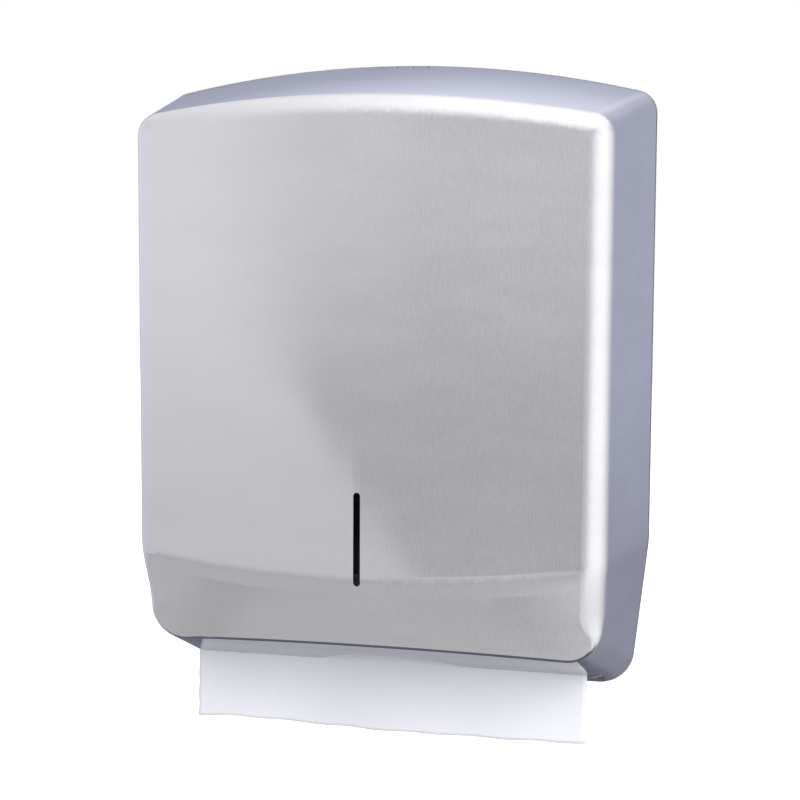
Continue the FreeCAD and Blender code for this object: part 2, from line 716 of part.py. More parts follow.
guide_rivets = rivets("guide_rivets", guide_rivet_places, "2 * plate_sheet")
keeper_rivets = rivets("keeper_rivets", keeper_rivet_places, "2 * plate_sheet")
hinge_rivets = rivets("hinge_rivets", hinge_rivet_places, "plate_sheet + leaf_sheet")


# Side guides: channels bent from sheet, with a rear flange and a front lip turned into the bay
def side_guide(label, sign):
    body = new_body(label)
    inner = "(bay_width / 2)"
    outer = f"({inner} + plate_sheet)"
    tip = f"({outer} - guide_lip)"
    corners = [
        (outer, "-plate_sheet"), (tip, "-plate_sheet"), (tip, "-2 * plate_sheet"),
        (inner, "-2 * plate_sheet"), (inner, "-(guide_depth - plate_sheet)"),
        (tip, "-(guide_depth - plate_sheet)"), (tip, "-guide_depth"), (outer, "-guide_depth"),
    ]
    if sign == "-":
        corners = [(f"-{across}", along) for across, along in reversed(corners)]
    outline(sketch_on(body, "XY_Plane", guide_low), corners)
    pad(body, body.Group[-1], "guide_length")
    middle = f"{guide_low} + guide_length / 2"
    for across, along, radius in (
        (outer, "-plate_sheet", "guide_bend"), (outer, "-guide_depth", "guide_bend"),
        (inner, "-2 * plate_sheet", "guide_bend - plate_sheet"),
        (inner, "-(guide_depth - plate_sheet)", "guide_bend - plate_sheet"),
    ):
        fillet(body, radius, [(sign + across, along, middle)])
    web = sketch_on(body, "YZ_Plane", f"{sign}{outer}")
    window_mid = "-(guide_depth / 2)"
    for place in ("guide_window_foot", "guide_window_foot + guide_window_pitch"):
        slot_at(web, window_mid, f"{guide_low} + {place}", "guide_window_width", "guide_window_length")
    pocket(body, web, "plate_sheet * 6", both_ways=True)
    slant = sketch_on(body, "YZ_Plane", f"{sign}{outer}")
    top = f"({guide_low} + guide_length)"
    outline(slant, [
        ("-guide_depth", f"{top} - guide_slant_rise"), ("-(guide_depth - guide_slant_run)", top),
        ("-(guide_depth - guide_slant_run)", f"{top} + guide_lip"),
        ("-(guide_depth + guide_lip)", f"{top} + guide_lip"),
        ("-(guide_depth + guide_lip)", f"{top} - guide_slant_rise"),
    ])
    pocket(body, slant, "guide_lip * 3", both_ways=True)
    flange = sketch_on(body, "XZ_Plane", "plate_sheet")
    for across, up in guide_rivet_places:
        if across.startswith("-") == (sign == "-"):
            circle_at(flange, across, up, "rivet_radius")
    pocket(body, flange, "plate_sheet * 4", both_ways=True)
    side = sketch_on(body, "YZ_Plane", f"{sign}{outer}")
    for along in tray_rivet_depths:
        circle_at(side, f"-({along})", tray_rivet_up, "rivet_radius")
    pocket(body, side, "plate_sheet * 6", both_ways=True)
    return body


side_guide_left = side_guide("side_guide_left", "-")
side_guide_right = side_guide("side_guide_right", "")

# Towel tray: a floor with a front lip and two sides, and a throat whose lips are drawn down
paper_tray = new_body("paper_tray")
tray_half = "(bay_width / 2 - tray_gap)"
tray_profile = sketch_on(paper_tray, "YZ_Plane", "0")
outline(tray_profile, [
    ("-tray_rear", TRAY_FLOOR), ("-(tray_depth - tray_sheet)", TRAY_FLOOR),
    ("-(tray_depth - tray_sheet)", f"{TRAY_FLOOR} + tray_lip"), ("-tray_depth", f"{TRAY_FLOOR} + tray_lip"),
    ("-tray_depth", f"{TRAY_FLOOR} - tray_sheet"), ("-tray_rear", f"{TRAY_FLOOR} - tray_sheet"),
])
pad(paper_tray, tray_profile, f"2 * {tray_half}", both_ways=True)
fillet(paper_tray, "tray_bend", [("0", "-tray_depth", f"{TRAY_FLOOR} - tray_sheet")])
fillet(paper_tray, "tray_bend - tray_sheet", [("0", "-(tray_depth - tray_sheet)", TRAY_FLOOR)])
side_sketch = sketch_on(paper_tray, "XY_Plane", f"{TRAY_FLOOR} - tray_sheet / 2")
for sign in ("-", ""):
    corners = [
        (f"{tray_half} - tray_sheet", "-(tray_depth - tray_bend)"), (tray_half, "-(tray_depth - tray_bend)"),
        (tray_half, "-tray_rear"), (f"{tray_half} - tray_sheet", "-tray_rear"),
    ]
    if sign == "-":
        corners = [(f"-({across})", along) for across, along in reversed(corners)]
    outline(side_sketch, corners)
pad(paper_tray, side_sketch, "tray_side")
throat_half = f"({tray_half} - tray_sheet)"
throat_sketch = sketch_on(paper_tray, "XY_Plane", f"{TRAY_FLOOR} + tray_sheet")
outline(throat_sketch, [
    (f"-{throat_half}", "-throat_front"), (throat_half, "-throat_front"),
    (throat_half, "-throat_rear"), (f"-{throat_half}", "-throat_rear"),
])
pocket(paper_tray, throat_sketch, "tray_sheet * 4")
for lip_depth, away in (("throat_rear", "-"), ("throat_front", "+")):
    lip_sketch = sketch_on(paper_tray, "YZ_Plane", "0")
    lip_corners = [
        (f"-({lip_depth} {away} tray_sheet)", f"{TRAY_FLOOR} - throat_drop"),
        (f"-{lip_depth}", f"{TRAY_FLOOR} - throat_drop"),
        (f"-{lip_depth}", TRAY_FLOOR),
        (f"-({lip_depth} {away} tray_sheet)", TRAY_FLOOR),
    ]
    if away == "-":
        lip_corners.reverse()
    outline(lip_sketch, lip_corners)
    pad(paper_tray, lip_sketch, f"2 * {throat_half}", both_ways=True)
    fillet(paper_tray, "throat_bend", [("0", f"-{lip_depth}", TRAY_FLOOR)])
tray_holes = sketch_on(paper_tray, "YZ_Plane", "0")
for along in tray_rivet_depths:
    circle_at(tray_holes, f"-({along})", tray_rivet_up, "rivet_radius")
pocket(paper_tray, tray_holes, "2 * bay_width", both_ways=True)

tray_rivet_pieces = []
for sign, direction in (("-", Vector(1, 0, 0)), ("", Vector(-1, 0, 0))):
    for along in tray_rivet_depths:
        grip = "(plate_sheet + tray_gap + tray_sheet)"
        start = f"{sign}(bay_width / 2 + plate_sheet)"
        end = f"{sign}(bay_width / 2 + plate_sheet - {grip})"
        shank = cylinder("rivet_radius - rivet_gap", grip, start, along, tray_rivet_up, direction)
        head = cylinder("rivet_head", "rivet_rise", end, along, tray_rivet_up, direction)
        tray_rivet_pieces += [shank, head]
tray_rivets = fuse("tray_rivets", *tray_rivet_pieces)

# Towels: the low stack on the tray, and the tail that hangs through the throat
towel_stack = new_body("towel_stack")
stack_front = "(tray_depth - tray_bend - stack_gap)"
stack_back = f"({stack_front} - towel_depth)"
outline(sketch_on(towel_stack, "XY_Plane", TRAY_FLOOR), [
    ("-towel_width / 2", f"-{stack_front}"), ("towel_width / 2", f"-{stack_front}"),
    ("towel_width / 2", f"-{stack_back}"), ("-towel_width / 2", f"-{stack_back}"),
])
pad(towel_stack, towel_stack.Group[-1], "stack_height")
fillet(towel_stack, "stack_edge", [
    ("0", f"-{along}", f"{TRAY_FLOOR} + stack_height") for along in (stack_front, stack_back)
])

towel_tail = box("tail_shift - tail_width / 2", "tail_depth + tail_sheet / 2",
                 f"{TRAY_FLOOR} - loose - tail_length", "tail_width", "tail_sheet", "tail_length")
towel_tail.Label = "towel_tail"

# Hinge: a wall leaf with two knuckles, a cover leaf with the middle one, and the pin
PIN_UP = "(cover_height / 2 - pin_drop)"
along_x = Vector(1, 0, 0)
gap = "(knuckle_width / 2 + knuckle_gap)"
outer_knuckle = f"(hinge_width / 2 - {gap})"
wall_leaf = box("-hinge_width / 2", "plate_sheet + leaf_sheet", f"{PIN_UP} - leaf_length", "hinge_width",
                "leaf_sheet", "leaf_length")
wall_knuckles = [
    cylinder("knuckle_radius", outer_knuckle, start, "pin_depth", PIN_UP, along_x)
    for start in ("-hinge_width / 2", gap)
]
leaf_opening = box(f"-{gap}", "leaf_length", f"{PIN_UP} - knuckle_radius - notch_front",
                   f"2 * {gap}", "leaf_length", "leaf_length")
pin_bore = "(pin_radius + pin_clearance)"
bore_start = "-hinge_width"
wall_bore = cylinder(pin_bore, "2 * hinge_width", bore_start, "pin_depth", PIN_UP, along_x)
wall_leaf_holes = [
    cylinder("rivet_radius", "leaf_length", across, "-leaf_margin", up, Vector(0, -1, 0))
    for across, up in hinge_rivet_places
]
wall_leaf_plate = cut("wall_leaf_plate", wall_leaf, leaf_opening)
wall_leaf_blank = fuse("wall_leaf_blank", wall_leaf_plate, *wall_knuckles)
hinge_leaf_wall = cut("hinge_leaf_wall", wall_leaf_blank, wall_bore, *wall_leaf_holes)

cover_leaf = new_body("cover_leaf")


def leaf_top(depth):
    return f"({apex(depth)} - cover_sheet / cos(top_slope) - leaf_gap)"


leaf_front = "(pin_depth + leaf_length)"
leaf_rear = "(pin_depth + leaf_near)"
outline(sketch_on(cover_leaf, "YZ_Plane", "0"), [
    (f"-{leaf_front}", f"{leaf_top(leaf_front)} - leaf_sheet"),
    (f"-{leaf_rear}", f"{leaf_top(leaf_rear)} - leaf_sheet"),
    (f"-{leaf_rear}", leaf_top(leaf_rear)), (f"-{leaf_front}", leaf_top(leaf_front)),
])
pad(cover_leaf, cover_leaf.Group[-1], "hinge_width", both_ways=True)
middle_knuckle = cylinder("knuckle_radius", "knuckle_width", "-knuckle_width / 2", "pin_depth", PIN_UP,
                          along_x)
relief_depth = "(pin_depth + knuckle_radius + knuckle_gap * 1.5)"
side_relief = [
    box(start, relief_depth, f"{PIN_UP} - leaf_length", "hinge_width", relief_depth, "2 * leaf_length")
    for start in ("-(hinge_width + knuckle_width / 2)", "(knuckle_width / 2)")
]
cover_leaf_relieved = cut("cover_leaf_relieved", cover_leaf, *side_relief)
cover_leaf_blank = fuse("cover_leaf_blank", cover_leaf_relieved, middle_knuckle)
cover_bore = cylinder(pin_bore, "2 * hinge_width", bore_start, "pin_depth", PIN_UP, along_x)
hinge_leaf_cover = cut("hinge_leaf_cover", cover_leaf_blank, cover_bore)
pin_length = "(hinge_width + knuckle_gap * 2)"
hinge_pin = cylinder("pin_radius", pin_length, f"-{pin_length} / 2", "pin_depth", PIN_UP, along_x)
hinge_pin.Label = "hinge_pin"

# Lock: collar and barrel, toothed washer, nut, turning plug with its keyway, cam and screw
bezel = lock_disc("bezel_radius", "bezel_height", "-bezel_height")
barrel = lock_disc("barrel_radius", "barrel_length")
plug_hole = lock_disc("plug_radius + plug_clearance", "3 * barrel_length", "-barrel_length")
lock_body = on_lock(cut("lock_body", fuse("lock_blank", bezel, barrel), plug_hole))


def thread_hole():
    return lock_disc("barrel_radius + thread_gap", "2 * barrel_length", "-barrel_length / 2")


washer_disc = lock_disc("barrel_radius + washer_rim", "washer_sheet", "cover_sheet")
lock_washer = on_lock(cut("lock_washer", washer_disc, thread_hole()))
nut_prism = doc.addObject("Part::Prism", "nut_prism")
nut_prism.Polygon = 6
bind(nut_prism, "Circumradius", "nut_across / 2")
bind(nut_prism, "Height", "nut_height")
bind(nut_prism, "Placement.Base.z", "cover_sheet + washer_sheet")
lock_nut = on_lock(cut("lock_nut", nut_prism, thread_hole()))


def lock_box(width, height, length, start):
    """A box centred on the lock's axis."""
    item = doc.addObject("Part::Box", "lock_box")
    bind(item, "Length", width)
    bind(item, "Width", height)
    bind(item, "Height", length)
    bind(item, "Placement.Base.x", f"-({width}) / 2")
    bind(item, "Placement.Base.y", f"-({height}) / 2")
    bind(item, "Placement.Base.z", start)
    return item


plug_face = "(plug_recess - bezel_height)"
plug_end = "(barrel_length + plug_overrun)"
cam_face = f"({plug_end} + cam_sheet)"
plug = lock_disc("plug_radius", f"{plug_end} - {plug_face}", plug_face)
keyway = lock_box("keyway_width", "keyway_height", "2 * keyway_depth", f"{plug_face} - keyway_depth")
square = lock_box("plug_square", "plug_square", "cam_sheet", plug_end)
screw_bore = lock_disc("screw_radius", "2 * (screw_length + loose)", f"{cam_face} - screw_length - loose")
lock_plug = on_lock(cut("lock_plug", fuse("plug_blank", plug, square), keyway, screw_bore))

# The cam at rest points to the wall, clear of its keeper; a quarter turn brings it down behind it
cam_reach = "(cam_length - cam_width / 2)"
cam_round = lock_disc("cam_width / 2", "cam_sheet", plug_end)
cam_arm = lock_box(cam_reach, "cam_width", "cam_sheet", plug_end)
bind(cam_arm, "Placement.Base.x", "0 * cam_length")
cam_tip = lock_disc("cam_width / 2", "cam_sheet", plug_end)
bind(cam_tip, "Placement.Base.x", cam_reach)
cam_opening = "(plug_square + 2 * square_gap)"
cam_square = lock_box(cam_opening, cam_opening, "3 * cam_sheet", f"{plug_end} - cam_sheet")
lock_cam = on_lock(cut("lock_cam", fuse("cam_blank", cam_round, cam_arm, cam_tip), cam_square))

crown_start = f"({cam_face} + screw_head / 2)"
screw_shank = lock_disc("screw_radius - rivet_gap", "screw_length", f"{cam_face} - screw_length")
screw_head = lock_disc("2 * screw_radius", "screw_head / 2", cam_face)
screw_crown = doc.addObject("Part::Cone", "screw_crown")
bind(screw_crown, "Radius1", "2 * screw_radius")
bind(screw_crown, "Radius2", "1.4 * screw_radius")
bind(screw_crown, "Height", "screw_head / 2")
bind(screw_crown, "Placement.Base.z", crown_start)
screw_slot = lock_box("5 * screw_radius", "screw_slot", "screw_head", crown_start)
cam_screw = on_lock(cut("cam_screw", fuse("screw_blank", screw_head, screw_crown, screw_shank), screw_slot))

# Keeper: a bracket on the back plate whose lip stops the cam when the lock is shut
lock_keeper = new_body("lock_keeper")
web_outer = f"-({keeper_side} + plate_sheet)"
web_inner = f"-{keeper_side}"
keeper_corners = [
    (f"{web_outer} - keeper_flange", "-plate_sheet"), (f"{web_outer} - keeper_flange", "-2 * plate_sheet"),
    (web_outer, "-2 * plate_sheet"), (web_outer, "-(keeper_depth - plate_sheet)"),
    (f"{web_outer} - keeper_reach", "-(keeper_depth - plate_sheet)"),
    (f"{web_outer} - keeper_reach", "-keeper_depth"), (web_inner, "-keeper_depth"),
    (web_inner, "-plate_sheet"),
]
outline(sketch_on(lock_keeper, "XY_Plane", f"{keeper_mid} - keeper_height / 2"), keeper_corners)
pad(lock_keeper, lock_keeper.Group[-1], "keeper_height")
fillet(lock_keeper, "guide_bend", [(web_inner, "-keeper_depth", keeper_mid)])
fillet(lock_keeper, "guide_bend - plate_sheet", [(web_outer, "-(keeper_depth - plate_sheet)", keeper_mid)])
keeper_holes = sketch_on(lock_keeper, "XZ_Plane", "plate_sheet")
for across, up in keeper_rivet_places:
    circle_at(keeper_holes, across, up, "rivet_radius")
pocket(lock_keeper, keeper_holes, "plate_sheet * 4", both_ways=True)

# Rubber buffers on the back plate, under the lower sides of the cover's rim
buffer_up = f"({LOWEST} + bottom_corner_radius + buffer_rise)"
buffer_across = f"({rim_side} - tan(taper_angle) * ({BEND} - {buffer_up}) - buffer_radius - buffer_margin)"
rubber_buffers = fuse("rubber_buffers", *(
    cylinder("buffer_radius", "buffer_height", across, "plate_sheet", up, Vector(0, -1, 0))
    for across, up in on_both_sides((buffer_across, buffer_up))
))

doc.recompute()

NODES = [
    cover_shell, back_plate, side_guide_left, side_guide_right, paper_tray, guide_rivets, tray_rivets,
    keeper_rivets, hinge_rivets, hinge_leaf_wall, hinge_leaf_cover, hinge_pin, lock_body, lock_washer,
    lock_nut, lock_plug, lock_cam, cam_screw, lock_keeper, rubber_buffers, towel_stack, towel_tail,
]
for item in doc.Objects:
    if "Invalid" in item.State or "Error" in item.State:
        raise RuntimeError(f"{item.Label} failed: {item.State}")
for node in NODES:
    if node.Shape.isNull() or not node.Shape.isValid():
        raise RuntimeError(f"{node.Label} has no valid shape")
os.makedirs("parts", exist_ok=True)
for node in NODES:
    node.Shape.exportStep(f"parts/{node.Label}.step")
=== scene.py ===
import math

import bpy
from mathutils import Matrix, Vector


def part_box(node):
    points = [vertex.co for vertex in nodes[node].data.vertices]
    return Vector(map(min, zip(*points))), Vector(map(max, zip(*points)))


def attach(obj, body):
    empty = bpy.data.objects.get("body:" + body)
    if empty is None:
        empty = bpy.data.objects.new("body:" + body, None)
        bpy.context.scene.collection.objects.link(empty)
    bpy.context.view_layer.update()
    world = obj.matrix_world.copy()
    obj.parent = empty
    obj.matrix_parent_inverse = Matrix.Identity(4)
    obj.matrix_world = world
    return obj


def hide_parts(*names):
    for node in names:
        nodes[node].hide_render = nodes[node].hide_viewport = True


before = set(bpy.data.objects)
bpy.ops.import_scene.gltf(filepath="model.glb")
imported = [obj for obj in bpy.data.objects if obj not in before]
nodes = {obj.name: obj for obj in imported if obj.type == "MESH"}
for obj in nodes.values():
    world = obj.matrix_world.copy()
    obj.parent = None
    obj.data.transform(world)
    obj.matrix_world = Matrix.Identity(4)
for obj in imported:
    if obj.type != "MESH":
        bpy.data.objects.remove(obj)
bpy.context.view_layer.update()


# Camera
# It stands to the right of the dispenser and a little above it, as in the photograph.
camera_azimuth = math.radians(14.0)
camera_elevation = math.radians(6.47)
camera_roll = math.radians(0.29)
camera_distance = 1.1346
camera_target = Vector((0.0113, -0.060, -0.0103))
camera_back = Vector((
    math.sin(camera_azimuth) * math.cos(camera_elevation),
    -math.cos(camera_azimuth) * math.cos(camera_elevation),
    math.sin(camera_elevation),
))
camera_data = bpy.data.cameras.new("camera")
camera_data.lens = 86.67
camera_data.sensor_width = 36.0
camera = bpy.data.objects.new("camera", camera_data)
camera.location = camera_target + camera_back * camera_distance
camera_turn = camera_back.to_track_quat("Z", "Y").to_matrix().to_4x4() @ Matrix.Rotation(camera_roll, 4, "Z")
camera.rotation_euler = camera_turn.to_euler()
bpy.context.scene.collection.objects.link(camera)
bpy.context.scene.camera = camera


# Studio
# A plain pale floor well below the towel, a lamp for the paper, and a room that the steel shows. The
# room's tones depend only on the direction, whose three parts run from -1 to 1: across to the right,
# along to the wall, and up. Two numbers in brackets are where a change begins and where it ends.
class Flow:
    """A number, colour or place on its way through shader nodes. Arithmetic on it adds Math nodes."""

    def __init__(self, finish, socket):
        self.finish = finish
        self.socket = socket

    def maths(self, operation, *values):
        return self.finish.node("Math", {"operation": operation}, dict(enumerate(values)))

    def __add__(self, other):
        return self.maths("ADD", self, other)

    def __radd__(self, other):
        return self.maths("ADD", other, self)

    def __sub__(self, other):
        return self.maths("SUBTRACT", self, other)

    def __rsub__(self, other):
        return self.maths("SUBTRACT", other, self)

    def __mul__(self, other):
        return self.maths("MULTIPLY", self, other)

    def __rmul__(self, other):
        return self.maths("MULTIPLY", other, self)

    def __abs__(self):
        return self.maths("ABSOLUTE", self)

    def rise(self, low, high):
        """Goes softly from 0 to 1 between two values."""
        return self.finish.node(
            "MapRange", {"interpolation_type": "SMOOTHSTEP"}, {0: self, 1: low, 2: high, 3: 0.0, 4: 1.0}
        )

    def toward(self, other, share):
        """A share of the way from this value to another."""
        return self + share * (other - self)


class Finish:
    """The shader nodes of a material, or of the room."""

    def __init__(self, owner):
        owner.use_nodes = True
        self.owner = owner
        self.tree = owner.node_tree

    def node(self, kind, settings, inputs, output=0):
        """Adds a node with its settings, then the values or links of its sockets."""
        added = self.tree.nodes.new("ShaderNode" + kind)
        for name, value in settings.items():
            setattr(added, name, value)
        for name, value in inputs.items():
            self.feed(added.inputs[name], value)
        return Flow(self, added.outputs[output])

    def feed(self, socket, value):
        if isinstance(value, Flow):
            self.tree.links.new(value.socket, socket)
        else:
            socket.default_value = value

    def surface(self, **inputs):
        """Feeds the material's shader, with spaces in a socket's name written as underscores."""
        shader = self.tree.nodes["Principled BSDF"]
        for name, value in inputs.items():
            self.feed(shader.inputs[name.replace("_", " ")], value)

    def parts(self, place):
        """The three numbers of a place or direction."""
        split = self.node("SeparateXYZ", {}, {0: place}).socket.node
        return [Flow(self, output) for output in split.outputs]

    def grain(self, across, inward, upright, detail=2.0):
        """Soft random values from 0 to 1, with so many grains per metre in each direction of the piece."""
        x, y, z = self.parts(self.node("TexCoord", {}, {}, output="Object"))
        place = self.node("CombineXYZ", {}, {0: x * across, 1: y * inward, 2: z * upright})
        return self.node("TexNoise", {}, {"Vector": place, "Scale": 1.0, "Detail": detail})

    def mixed(self, first, second, share):
        """A colour between two others."""
        return self.node("Mix", {"data_type": "RGBA"}, {0: share, 6: first, 7: second}, output=2)

    def raised(self, height, depth):
        """Normals of a surface that stands up by a height from 0 to 1 times a depth in metres."""
        return self.node("Bump", {}, {"Height": height, "Distance": depth, "Strength": 1.0})


scene = bpy.context.scene
scene.view_settings.view_transform = "Standard"
floor_height = -0.42
bpy.ops.object.select_all(action="DESELECT")
bpy.ops.mesh.primitive_plane_add(size=8, location=(0, 0, floor_height))
floor = bpy.context.object
floor.name = "floor"
bpy.ops.object.transform_apply(location=True)
floor.visible_glossy = False
floor.visible_diffuse = False
floor.visible_shadow = False

floor_paint = Finish(bpy.data.materials.new("floor_paint"))
floor_paint.surface(
    Base_Color=(0.95, 0.95, 0.95, 1), Roughness=0.9, Specular_IOR_Level=0.0,
    Emission_Color=(1, 1, 1, 1), Emission_Strength=0.25,
)
floor.data.materials.append(floor_paint.owner)

room = Finish(bpy.data.worlds.new("room"))
scene.world = room.owner
across, along, up = room.parts(room.node("TexCoord", {}, {}))

# In front the room is grey, lighter above eye level, and there less so to the right of the middle.
front_grey = 0.53
front_lift = 0.22
front_right_fall = 0.05
front_middle = (-0.25, -0.08)
eye_level = (-0.15, 0.01)
front_rise = front_lift - front_right_fall * across.rise(*front_middle)
front_tone = front_grey + front_rise * up.rise(*eye_level)

# A lighter panel stands at the left. Its edge runs to the right as it goes down, and is sharper there.
panel_grey = 0.70
panel_lift = 0.19
panel_light_heights = (-0.20, 0.0)
panel_left = 0.395
panel_top_lean = 0.085
panel_top = (-0.13, 0.0)
panel_knee = -0.10
panel_lean = 1.7
panel_curve = 9.0
panel_sharpness = 9.0
panel_sharp_heights = (-0.15, -0.08)
panel_softness = 0.20
panel_foot = (-0.40, -0.25)
panel_tone = panel_grey + panel_lift * up.rise(*panel_light_heights)
under_knee = room.node("Math", {"operation": "MAXIMUM"}, {0: panel_knee - up, 1: 0.0})
panel_side = across + panel_left + panel_top_lean * up.rise(*panel_top)
panel_edge = panel_side - under_knee * (panel_lean + panel_curve * under_knee)
panel_edge = panel_edge * (1.0 + panel_sharpness * (1.0 - up.rise(*panel_sharp_heights)))
panel = (1.0 - panel_edge.rise(-panel_softness, panel_softness)) * up.rise(*panel_foot)
front_tone = front_tone.toward(panel_tone, panel)

# Low in front the grey is even, with a faint darker patch to the right of a slanting edge.
low_grey = 0.57
low_heights = (-0.50, -0.30)
patch_depth = 0.12
patch_left = 0.05
patch_lean = 9.0
patch_height = 0.757
patch_top = (-0.74, -0.60)
patch_edge = (-0.03, 0.03)
patch_end = (0.05, 0.35)
past_edge = across + patch_left + patch_lean * (up + patch_height)
patch = (1.0 - up.rise(*patch_top)) * past_edge.rise(*patch_edge) * (1.0 - past_edge.rise(*patch_end))
front_tone = front_tone.toward(low_grey - patch_depth * patch, 1.0 - up.rise(*low_heights))

# The wall behind is dark, lighter towards its top, though less so at the right. It reaches round the left.
wall_grey = 0.20
wall_low_lift = 0.09
wall_low = (-0.50, -0.30)
wall_right_lift = 0.08
wall_middle_lift = 0.14
wall_middle = (-0.25, -0.07)
wall_top_lift = 0.59
wall_top = (0.27, 0.56)
corner_fall = 0.7
corner_side = (-0.05, 0.25)
wall_reach = 0.18
wall_reach_side = (-0.99, -0.80)
wall_edge = (0.60, 0.89)
wall_tone = wall_grey + wall_low_lift * up.rise(*wall_low) + wall_right_lift * across
wall_tone = wall_tone + wall_middle_lift * up.rise(*wall_middle)
corner = 1.0 - corner_fall * across.rise(*corner_side)
wall_tone = wall_tone + wall_top_lift * up.rise(*wall_top) * corner
wall = (along + wall_reach * (1.0 - across.rise(*wall_reach_side))).rise(*wall_edge)
tone = front_tone.toward(wall_tone, wall)

# A key light stands at the right, a little low. A broad light hangs overhead, brighter to the right.
key_bright = 1.38
key_lift = 0.50
key_drop = 0.45
key_edge = (0.33, 1.0)
key_depth = (-0.10, 1.10)
key = (across - key_drop * up).rise(*key_edge) * (1.0 - along.rise(*key_depth))
tone = tone.toward(key_bright + key_lift * up, key)
overhead_bright = 1.45
overhead_right_lift = 0.85
overhead_edge = (0.20, 1.0)
overhead_depth = (0.55, 0.95)
overhead = up.rise(*overhead_edge) * (1.0 - along.rise(*overhead_depth))
tone = tone.toward(overhead_bright + overhead_right_lift * across, overhead)

# It is dark straight below, and towards the wall the dark begins a little higher up.
dark_grey = 0.14
dark_edge = (-0.90, -0.79)
dark_back = (-0.10, 0.20)
dark_back_edge = (-0.75, -0.55)
low_back = along.rise(*dark_back) * (1.0 - up.rise(*dark_back_edge))
underneath = 1.0 - up.rise(*dark_edge) * (1.0 - low_back)
tone = tone.toward(dark_grey, underneath)

# The wall, the left side and what lies underneath are cool in colour, but not the wall's top right. The
# camera itself sees plain white.
white = (1, 1, 1, 1)
cool = (0.955, 0.99, 1.24, 1)
plain_share = 0.6
plain_heights = (0.3, 0.6)
plain_side = (-0.5, 0.0)
cool_left_share = 0.25
cool_left = (-0.95, -0.70)
plain_corner = plain_share * up.rise(*plain_heights) * across.rise(*plain_side)
cool_share = wall * (1.0 - overhead) * (1.0 - plain_corner) + underneath
cool_share = cool_share + cool_left_share * (1.0 - across.rise(*cool_left))
seen = room.node("LightPath", {}, {})
background = room.tree.nodes["Background"]
room.feed(background.inputs["Strength"], tone.toward(1.0, seen))
room.feed(background.inputs["Color"], room.mixed(white, cool, cool_share * (1.0 - seen)))

# The lamp lights the paper from the upper right. It isn't mirrored in the steel.
lamp_place = Vector((0.9, -1.5, 0.7))
lamp_aim = Vector((0, 0, -0.2))
lamp = bpy.data.lights.new("front_box", "AREA")
lamp.shape = "RECTANGLE"
lamp.size = 1.4
lamp.size_y = 1.0
lamp.energy = 19.5
lamp_object = bpy.data.objects.new("front_box", lamp)
lamp_object.location = lamp_place
lamp_object.rotation_euler = (lamp_place - lamp_aim).to_track_quat("Z", "Y").to_euler()
lamp_object.visible_glossy = False
scene.collection.objects.link(lamp_object)


# Cover
# Pressed stainless steel, brushed upright on the front and sides and crosswise on the top, with the
# faint uneven bands that the brushing leaves. It hangs on the hinge at its top and covers all the rest.
def brushed_steel(name, light, dark, underside_shade, roughness, depth):
    """Steel with fine lines, upright on walls and crosswise on faces that look up, and painted shade
    underneath.
    """
    steel = Finish(bpy.data.materials.new(name))
    x, y, z = steel.parts(steel.node("TexCoord", {}, {}, output="Object"))
    _, outward, upward = steel.parts(steel.node("NewGeometry", {}, {}, output="Normal"))

    # Lines, in grains per metre: how many side by side, how many in depth, and how often they break off.
    line_count = 1500
    line_layers = 480
    line_breaks = 220
    level_faces = (0.6, 0.85)
    upright = steel.grain(across=line_count, inward=line_layers, upright=line_breaks)
    crosswise = steel.grain(across=line_breaks, inward=line_layers, upright=line_count)
    lines = upright.toward(crosswise, abs(upward).rise(*level_faces))

    # The top wall's low crown, which bulges by about a millimetre between wall and front.
    crown_curve = -0.44
    crown_depth = 0.1
    crown_faces = (0.75, 0.95)
    crown = crown_curve * y * (y + crown_depth) * upward.rise(*crown_faces)

    # Wear: clouds drawn out sideways, and broad patches, mostly at the right.
    cloud_contrast = (0.2, 0.8)
    patch_right_gain = 5
    patch_contrast = (0.1, 0.9)
    clouds = steel.grain(across=17, inward=17, upright=50, detail=3.0)
    patches = steel.grain(across=8, inward=8, upright=5)
    patches = (patch_right_gain * x + patches).rise(*patch_contrast)

    # The rounded ridges and the sides, where the lines are fainter and the gloss is duller.
    flat_faces = (0.75, 0.97)
    bent = 1.0 - abs(outward).rise(*flat_faces)

    # How far lines and clouds shift the steel from its middle tone, more in the patches.
    line_contrast = (0.25, 0.75)
    line_strength = 0.10
    line_patch_strength = 0.35
    bent_fade = 0.6
    cloud_strength = 0.15
    cloud_patch_strength = 0.25
    streaks = (lines.rise(*line_contrast) - 0.5) * (line_strength + line_patch_strength * patches)
    worn = 0.5 + streaks * (1.0 - bent_fade * bent)
    worn = worn + (cloud_strength + cloud_patch_strength * patches) * (clouds.rise(*cloud_contrast) - 0.5)

    # Painted shade on the faces that look down, darker still along the lip.
    shaded_under_faces = (0.72, 0.92)
    under_shade_share = 0.72
    lip_shade_share = 0.28
    lip_shade_heights = (-0.165, -0.156)
    painted_under_shade = (0.0 - upward).rise(*shaded_under_faces) * (under_shade_share + lip_shade_share * z.rise(*lip_shade_heights))

    worn_roughness = 0.02
    bent_roughness = 0.06
    steel.surface(
        Base_Color=steel.mixed(steel.mixed(dark, light, worn), underside_shade, painted_under_shade), Metallic=1.0,
        Roughness=roughness + worn_roughness * worn + bent_roughness * bent, Anisotropic=0.45,
        Normal=steel.raised(lines * depth + crown, 1.0),
    )
    return steel.owner


def finished(name, material):
    """Gives a CAD node its finish."""
    node = nodes[name]
    node.data.materials.clear()
    node.data.materials.append(material)


# Its faces that look down get a dark painted shade, darkest along the lip.
cover_steel = brushed_steel(
    "cover_steel", light=(0.80, 0.80, 0.83, 1), dark=(0.655, 0.655, 0.69, 1),
    underside_shade=(0.13, 0.125, 0.18, 1), roughness=0.08, depth=0.0000008,
)
finished("cover_shell", cover_steel)
